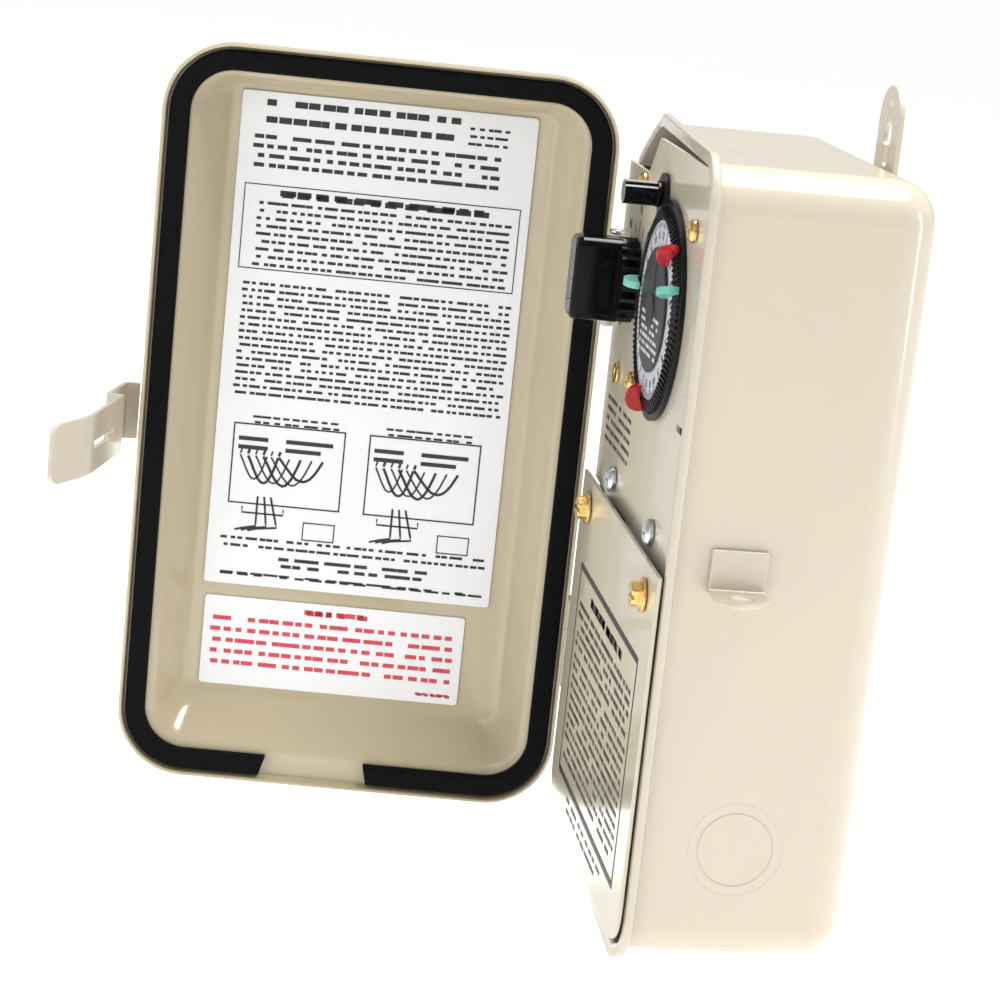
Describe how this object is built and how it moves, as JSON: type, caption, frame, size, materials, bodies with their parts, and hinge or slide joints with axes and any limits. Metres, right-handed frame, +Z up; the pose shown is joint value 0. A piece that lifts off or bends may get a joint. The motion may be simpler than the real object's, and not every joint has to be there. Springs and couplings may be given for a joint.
{
  "type": "enclosed dial timer and thermostat",
  "caption": "Wall-mounted rain-tight steel enclosure, hinged door open, holding a dial timer with trippers, a thermostat knob and a dead-front cover.",
  "frame": {"origin": "centre of the case's rear face, where it meets the wall", "axes": "+X right and +Z up seen from the front, +Y into the wall; the front faces -Y and the door hinges at -X"},
  "size_m": [0.2025, 0.2426, 0.2605],
  "materials": {
    "paint": "gloss",
    "zinc": "satin",
    "gold_plating": "satin",
    "black_gloss": "gloss",
    "black_moulding": "satin",
    "grey_moulding": "matte",
    "white_moulding": "matte",
    "copper": "satin",
    "foam": "matte",
    "print": "satin",
    "wire_green": "satin",
    "wire_black": "satin",
    "wire_red": "satin",
    "wire_white": "satin",
    "tripper_red": "gloss",
    "tripper_green": "gloss"
  },
  "bodies": {
    "enclosure": {"case": "paint", "mounting_ear": "paint", "padlock_tab": "paint", "lower_rail": "zinc", "upper_bracket_left": "zinc", "upper_bracket_right": "zinc", "mechanism_plate": "paint", "cover_plate": "paint", "cover_screw_left": "gold_plating", "plate_screw_left": "zinc", "timer_screw_left": "gold_plating", "cover_screw_right": "gold_plating", "plate_screw_right": "zinc", "timer_screw_right": "gold_plating", "bracket_screw": "gold_plating", "eyelet": "gold_plating", "timer_bezel": "black_moulding", "timer_housing": "black_moulding", "snap_switch": "black_moulding", "timer_motor": "zinc", "thermostat_body": "grey_moulding", "selector_switch": "grey_moulding", "capillary_tube": "copper", "sensing_bulb": "copper", "bulb_clip": "zinc", "ground_lug": "gold_plating", "ground_lead": "wire_green", "lead_black": "wire_black", "lead_red": "wire_red", "lead_white": "wire_white", "hinge_case_leaf_upper": "paint", "hinge_pin_upper": "zinc", "hinge_case_leaf_lower": "paint", "hinge_pin_lower": "zinc"},
    "door": {"door_pan": "paint", "door_gasket": "foam", "label_large": "print", "label_small": "print", "hinge_door_leaf_upper": "paint", "hinge_door_leaf_lower": "paint", "hasp_foot": "paint"},
    "hasp_strap": {"hasp": "paint"},
    "dial": {"dial_ring": "black_moulding", "dial_face": "white_moulding", "dial_hub": "grey_moulding", "dial_gear": "white_moulding", "tripper_red_upper": "tripper_red", "tripper_green_right": "tripper_green", "tripper_green_left": "tripper_green", "tripper_red_lower": "tripper_red"},
    "idler": {"idler_gear": "white_moulding"},
    "pinion": {"motor_pinion": "gold_plating"},
    "thermostat_dial": {"thermostat_knob": "black_gloss", "thermostat_shaft": "zinc"},
    "selector": {"selector_knob": "black_gloss"}
  },
  "joints": [
    {"name": "door_hinge", "type": "hinge", "parent": "enclosure", "child": "door", "pos_m": [-0.076, -0.066, 0], "axis": [0, 0, 1], "range_deg": [-80, 96.3]},
    {"name": "hasp_flex", "type": "hinge", "parent": "door", "child": "hasp_strap", "pos_m": [-0.1168, -0.21502, -0.0022], "axis": [0, 0, 1], "range_deg": [0, 12], "stiffness_Nm_per_rad": 0.6},
    {"name": "dial_spin", "type": "hinge", "parent": "enclosure", "child": "dial", "pos_m": [0.0115, -0.065, 0.0668], "axis": [0, -1, 0], "continuous": true},
    {"name": "idler_spin", "type": "hinge", "parent": "enclosure", "child": "idler", "pos_m": [-0.00362, -0.057, 0.0668], "axis": [0, -1, 0], "continuous": true},
    {"name": "pinion_spin", "type": "hinge", "parent": "enclosure", "child": "pinion", "pos_m": [-0.00362, -0.055, 0.05588], "axis": [0, -1, 0], "continuous": true},
    {"name": "thermostat_turn", "type": "hinge", "parent": "enclosure", "child": "thermostat_dial", "pos_m": [-0.04, -0.065, 0.0675], "axis": [0, -1, 0], "range_deg": [-135, 135]},
    {"name": "selector_turn", "type": "hinge", "parent": "enclosure", "child": "selector", "pos_m": [-0.004, -0.065, 0.09929], "axis": [0, -1, 0], "range_deg": [-45, 45]}
  ],
  "couplings": [
    {"joint": "idler_spin", "follows": "dial_spin", "ratio": -4},
    {"joint": "pinion_spin", "follows": "dial_spin", "ratio": 10.4}
  ]
}
